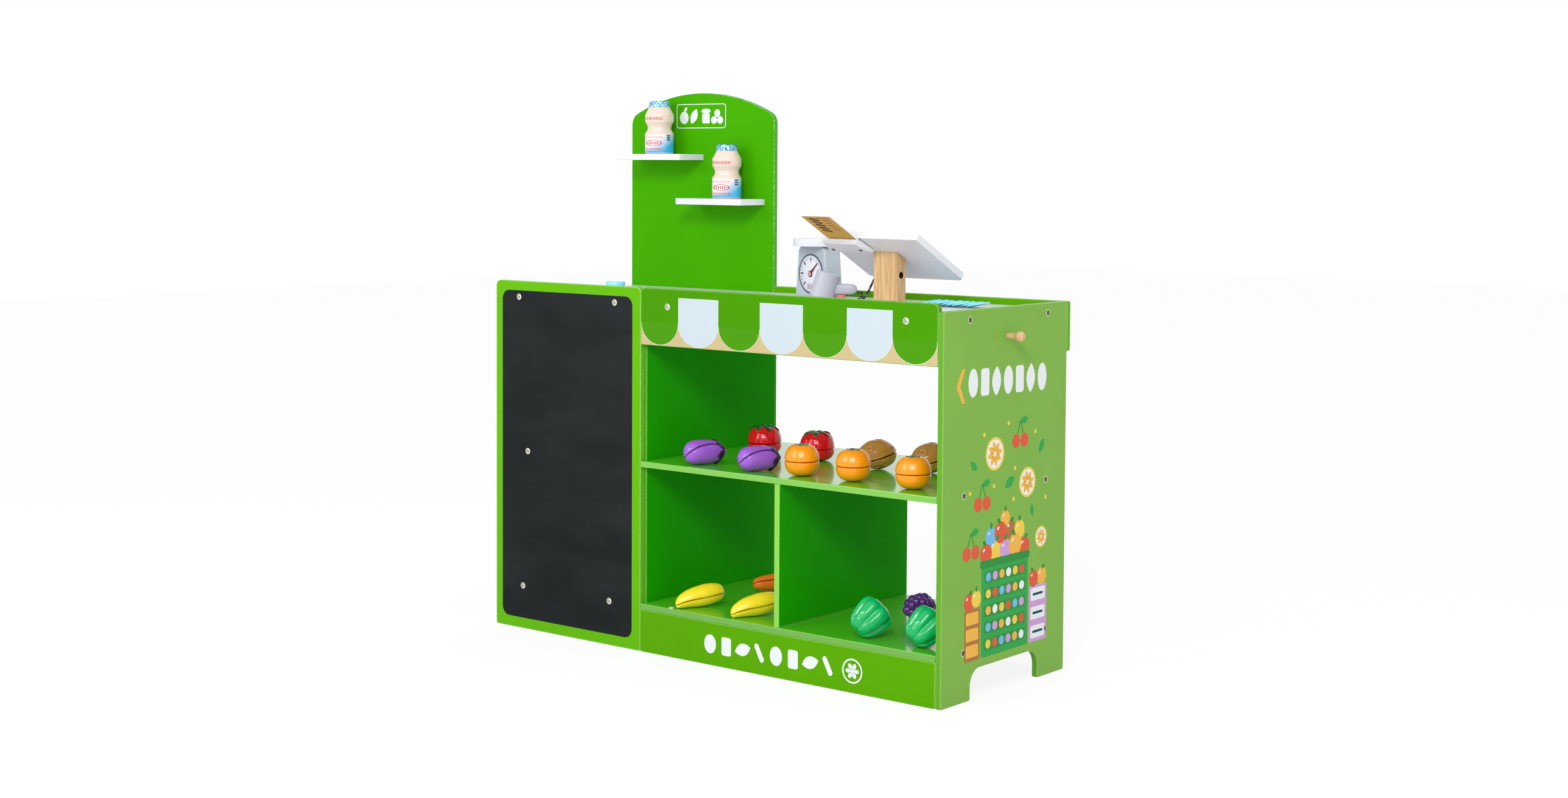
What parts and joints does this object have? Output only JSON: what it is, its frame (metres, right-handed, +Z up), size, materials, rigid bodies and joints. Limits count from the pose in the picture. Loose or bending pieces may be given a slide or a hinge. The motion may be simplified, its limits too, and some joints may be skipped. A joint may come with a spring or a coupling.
{
  "type": "toy grocery store",
  "caption": "Toy grocery shop of painted boards with a blackboard, counter, shelves, till, scale, corded hand scanner, play money and play food.",
  "frame": {"origin": "centre of the bounding box's footprint, on the floor", "axes": "+X along the front to the viewer's right, +Y from the front to the back, +Z up"},
  "size_m": [0.984, 0.3604, 0.9452],
  "materials": {
    "green_paint": "gloss green paint on board",
    "side_green_paint": "satin pale green paint on board",
    "white_paint": "satin white paint on board",
    "chalkboard": "matt chalkboard paint",
    "bare_wood": "clear satin",
    "card_gold": "gold printed face",
    "scale_grey": "silver-grey satin paint",
    "dial_face": "printed",
    "needle_red": "gloss",
    "scanner_grey": "satin lavender-grey paint",
    "trigger_red": "satin paint",
    "cord": "twisted cotton",
    "light_blue": "satin paint",
    "bottle": "printed gloss",
    "orange": "gloss",
    "tomato": "gloss",
    "potato": "gloss",
    "eggplant": "gloss",
    "banana": "gloss",
    "carrot": "gloss",
    "pepper": "gloss",
    "grapes": "gloss"
  },
  "bodies": {
    "shop": {"arched_back_panel": "green_paint", "awning_board": "green_paint", "back_rail": "green_paint", "blackboard_board": "green_paint", "blackboard_sheet": "chalkboard", "bottom_shelf": "green_paint", "countertop": "white_paint", "inner_wall": "green_paint", "kick_board": "green_paint", "left_bottom_shelf": "green_paint", "left_mid_shelf": "green_paint", "mid_shelf": "green_paint", "shelf_divider": "green_paint", "side_panel": "side_green_paint", "wall_shelf_lower": "white_paint", "wall_shelf_upper": "white_paint", "hanging_peg": "bare_wood", "register_post": "bare_wood", "register_screen": "white_paint", "card_holder": "white_paint", "scanner_cord": "cord"},
    "play_card": {"play_card": "card_gold"},
    "scale": {"scale_body": "scale_grey", "scale_dial": "dial_face", "scale_platform": "white_paint"},
    "scale_needle": {"scale_needle": "needle_red"},
    "hand_scanner": {"scanner_head": "scanner_grey", "scanner_handle": "scanner_grey", "scanner_trigger": "trigger_red"},
    "play_tin": {"play_tin": "light_blue"},
    "drink_bottle_upper": {"drink_bottle_upper": "bottle"},
    "drink_bottle_lower": {"drink_bottle_lower": "bottle"},
    "play_coin_8": {"play_coin_8": "light_blue"},
    "play_coin_7": {"play_coin_7": "light_blue"},
    "play_coin_6": {"play_coin_6": "light_blue"},
    "play_coin_5": {"play_coin_5": "light_blue"},
    "play_coin_4": {"play_coin_4": "light_blue"},
    "play_coin_3": {"play_coin_3": "light_blue"},
    "play_coin_2": {"play_coin_2": "light_blue"},
    "play_coin_1": {"play_coin_1": "light_blue"},
    "orange_1_lower": {"orange_1_lower": "orange"},
    "orange_1_upper": {"orange_1_upper": "orange"},
    "orange_2_lower": {"orange_2_lower": "orange"},
    "orange_2_upper": {"orange_2_upper": "orange"},
    "orange_3_lower": {"orange_3_lower": "orange"},
    "orange_3_upper": {"orange_3_upper": "orange"},
    "tomato_1_lower": {"tomato_1_lower": "tomato"},
    "tomato_1_upper": {"tomato_1_upper": "tomato"},
    "tomato_2_lower": {"tomato_2_lower": "tomato"},
    "tomato_2_upper": {"tomato_2_upper": "tomato"},
    "potato_1": {"potato_1": "potato"},
    "potato_2": {"potato_2": "potato"},
    "eggplant_1": {"eggplant_1": "eggplant"},
    "eggplant_2": {"eggplant_2": "eggplant"},
    "banana_1": {"banana_1": "banana"},
    "banana_2": {"banana_2": "banana"},
    "carrot": {"carrot": "carrot"},
    "pepper_1": {"pepper_1": "pepper"},
    "pepper_2": {"pepper_2": "pepper"},
    "grapes": {"grapes": "grapes"}
  },
  "joints": [
    {"name": "play_card_slide", "type": "slide", "parent": "shop", "child": "play_card", "axis": [0, -0.8886, 0.4587], "range_m": [0, 0.04]},
    {"name": "scale_lift", "type": "slide", "parent": "shop", "child": "scale", "axis": [0, 0, 1], "range_m": [0, 0.08]},
    {"name": "needle_turn", "type": "hinge", "parent": "scale", "child": "scale_needle", "pos_m": [-0.01539, 0.10696, 0.6273], "axis": [-0.2672, -0.9636, 0], "continuous": true},
    {"name": "scanner_lift", "type": "slide", "parent": "shop", "child": "hand_scanner", "axis": [0, 0, 1], "range_m": [0, 0.025]},
    {"name": "tin_lift", "type": "slide", "parent": "shop", "child": "play_tin", "axis": [0, 0, 1], "range_m": [0, 0.08]},
    {"name": "upper_bottle_lift", "type": "slide", "parent": "shop", "child": "drink_bottle_upper", "axis": [0, 0, 1], "range_m": [0, 0.08]},
    {"name": "lower_bottle_lift", "type": "slide", "parent": "shop", "child": "drink_bottle_lower", "axis": [0, 0, 1], "range_m": [0, 0.08]},
    {"name": "coin_8_slide", "type": "slide", "parent": "shop", "child": "play_coin_8", "axis": [0.9781, 0, 0.2079], "range_m": [0, 0.015]},
    {"name": "coin_7_slide", "type": "slide", "parent": "play_coin_8", "child": "play_coin_7", "axis": [0.9781, 0, 0.2079], "range_m": [0, 0.015]},
    {"name": "coin_6_slide", "type": "slide", "parent": "play_coin_7", "child": "play_coin_6", "axis": [0.9781, 0, 0.2079], "range_m": [0, 0.015]},
    {"name": "coin_5_slide", "type": "slide", "parent": "play_coin_6", "child": "play_coin_5", "axis": [0.9781, 0, 0.2079], "range_m": [0, 0.015]},
    {"name": "coin_4_slide", "type": "slide", "parent": "play_coin_5", "child": "play_coin_4", "axis": [0.9781, 0, 0.2079], "range_m": [0, 0.015]},
    {"name": "coin_3_slide", "type": "slide", "parent": "play_coin_4", "child": "play_coin_3", "axis": [0.9781, 0, 0.2079], "range_m": [0, 0.015]},
    {"name": "coin_2_slide", "type": "slide", "parent": "play_coin_3", "child": "play_coin_2", "axis": [0.9781, 0, 0.2079], "range_m": [0, 0.015]},
    {"name": "coin_1_slide", "type": "slide", "parent": "play_coin_2", "child": "play_coin_1", "axis": [0.9781, 0, 0.2079], "range_m": [0, 0.015]},
    {"name": "orange_1_lower_lift", "type": "slide", "parent": "shop", "child": "orange_1_lower", "axis": [0, 0, 1], "range_m": [0, 0.08]},
    {"name": "orange_1_upper_lift", "type": "slide", "parent": "orange_1_lower", "child": "orange_1_upper", "axis": [0, 0, 1], "range_m": [0, 0.08]},
    {"name": "orange_2_lower_lift", "type": "slide", "parent": "shop", "child": "orange_2_lower", "axis": [0, 0, 1], "range_m": [0, 0.08]},
    {"name": "orange_2_upper_lift", "type": "slide", "parent": "orange_2_lower", "child": "orange_2_upper", "axis": [0, 0, 1], "range_m": [0, 0.08]},
    {"name": "orange_3_lower_lift", "type": "slide", "parent": "shop", "child": "orange_3_lower", "axis": [0, 0, 1], "range_m": [0, 0.08]},
    {"name": "orange_3_upper_lift", "type": "slide", "parent": "orange_3_lower", "child": "orange_3_upper", "axis": [0, 0, 1], "range_m": [0, 0.08]},
    {"name": "tomato_1_lower_lift", "type": "slide", "parent": "shop", "child": "tomato_1_lower", "axis": [0, 0, 1], "range_m": [0, 0.08]},
    {"name": "tomato_1_upper_lift", "type": "slide", "parent": "tomato_1_lower", "child": "tomato_1_upper", "axis": [0, 0, 1], "range_m": [0, 0.08]},
    {"name": "tomato_2_lower_lift", "type": "slide", "parent": "shop", "child": "tomato_2_lower", "axis": [0, 0, 1], "range_m": [0, 0.08]},
    {"name": "tomato_2_upper_lift", "type": "slide", "parent": "tomato_2_lower", "child": "tomato_2_upper", "axis": [0, 0, 1], "range_m": [0, 0.08]},
    {"name": "potato_1_lift", "type": "slide", "parent": "shop", "child": "potato_1", "axis": [0, 0, 1], "range_m": [0, 0.08]},
    {"name": "potato_2_lift", "type": "slide", "parent": "shop", "child": "potato_2", "axis": [0, 0, 1], "range_m": [0, 0.08]},
    {"name": "eggplant_1_lift", "type": "slide", "parent": "shop", "child": "eggplant_1", "axis": [0, 0, 1], "range_m": [0, 0.08]},
    {"name": "eggplant_2_lift", "type": "slide", "parent": "shop", "child": "eggplant_2", "axis": [0, 0, 1], "range_m": [0, 0.08]},
    {"name": "banana_1_lift", "type": "slide", "parent": "shop", "child": "banana_1", "axis": [0, 0, 1], "range_m": [0, 0.08]},
    {"name": "banana_2_lift", "type": "slide", "parent": "shop", "child": "banana_2", "axis": [0, 0, 1], "range_m": [0, 0.08]},
    {"name": "carrot_lift", "type": "slide", "parent": "shop", "child": "carrot", "axis": [0, 0, 1], "range_m": [0, 0.08]},
    {"name": "pepper_1_lift", "type": "slide", "parent": "shop", "child": "pepper_1", "axis": [0, 0, 1], "range_m": [0, 0.08]},
    {"name": "pepper_2_lift", "type": "slide", "parent": "shop", "child": "pepper_2", "axis": [0, 0, 1], "range_m": [0, 0.08]},
    {"name": "grapes_lift", "type": "slide", "parent": "shop", "child": "grapes", "axis": [0, 0, 1], "range_m": [0, 0.08]}
  ]
}
